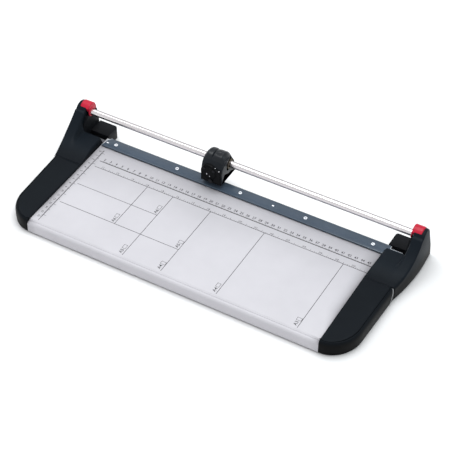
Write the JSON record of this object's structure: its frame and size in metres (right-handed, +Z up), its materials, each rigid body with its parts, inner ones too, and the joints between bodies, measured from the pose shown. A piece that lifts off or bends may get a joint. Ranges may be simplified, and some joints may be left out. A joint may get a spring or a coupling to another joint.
{
  "type": "rotary paper trimmer",
  "caption": "Rotary paper trimmer: a flat scaled table between two black end housings, with a sliding disc-blade head on a round rail and a sprung clear clamp strip.",
  "frame": {"origin": "on the desk, under the centre of the whole object's box", "axes": "+X along the rail to the right end housing, +Y from the paper side towards the rail side, +Z up"},
  "size_m": [0.569, 0.2436, 0.0729],
  "materials": {
    "table_sheet": "satin silver-grey paint with fine dark print",
    "beam_steel": "satin",
    "blade_steel": "ground",
    "bright_steel": "bright",
    "clear_slate": "polished tinted acrylic",
    "rail_chrome": "polished",
    "housing_black": "satin blue-black moulding",
    "bracket_black": "fine matt texture",
    "cap_red": "glossy",
    "soft_rubber": "matt",
    "head_black": "satin",
    "bush_metal": "satin sintered metal"
  },
  "bodies": {
    "base": {"table_board": "table_sheet", "front_beam": "beam_steel", "rear_beam": "beam_steel", "beam_bolts": "bright_steel", "counter_blade": "blade_steel", "counter_blade_screws": "bright_steel", "clamp_guide_pins": "bright_steel", "clamp_springs": "bright_steel", "rail_tube": "rail_chrome", "left_front_cover": "housing_black", "right_front_cover": "housing_black", "left_rear_cover": "housing_black", "right_rear_cover": "housing_black", "left_end_bracket": "bracket_black", "right_end_bracket": "bracket_black", "left_rail_cap": "cap_red", "right_rail_cap": "cap_red", "left_cap_screw": "bright_steel", "right_cap_screw": "bright_steel", "left_base_plate": "bracket_black", "right_base_plate": "bracket_black", "left_cover_screws": "bright_steel", "right_cover_screws": "bright_steel", "left_feet": "soft_rubber", "right_feet": "soft_rubber"},
    "clamp": {"clamp_strip": "clear_slate"},
    "head": {"head_body": "head_black", "head_bushes": "bush_metal", "head_grip": "soft_rubber", "blade_cover": "head_black", "blade_cover_screws": "bright_steel", "blade_axle": "bright_steel", "blade_spring": "bright_steel", "roller_axles": "bright_steel"},
    "blade": {"rotary_blade": "blade_steel", "blade_hub": "bright_steel"},
    "left_roller": {"left_press_roller": "soft_rubber"},
    "right_roller": {"right_press_roller": "soft_rubber"}
  },
  "joints": [
    {"name": "head_slide", "type": "slide", "parent": "base", "child": "head", "axis": [1, 0, 0], "range_m": [-0.202, 0.286]},
    {"name": "blade_spin", "type": "hinge", "parent": "head", "child": "blade", "pos_m": [-0.042, 0.087, 0.033], "axis": [0, 1, 0], "continuous": true},
    {"name": "left_roller_spin", "type": "hinge", "parent": "head", "child": "left_roller", "pos_m": [-0.052, 0.0826, 0.0273], "axis": [0, 1, 0], "continuous": true},
    {"name": "right_roller_spin", "type": "hinge", "parent": "head", "child": "right_roller", "pos_m": [-0.032, 0.0826, 0.0273], "axis": [0, 1, 0], "continuous": true},
    {"name": "clamp_press", "type": "slide", "parent": "base", "child": "clamp", "axis": [0, 0, -1], "range_m": [0, 0.0009], "stiffness_N_per_m": 2000, "springref_m": -0.0005, "deforming": ["clamp_springs"]}
  ]
}
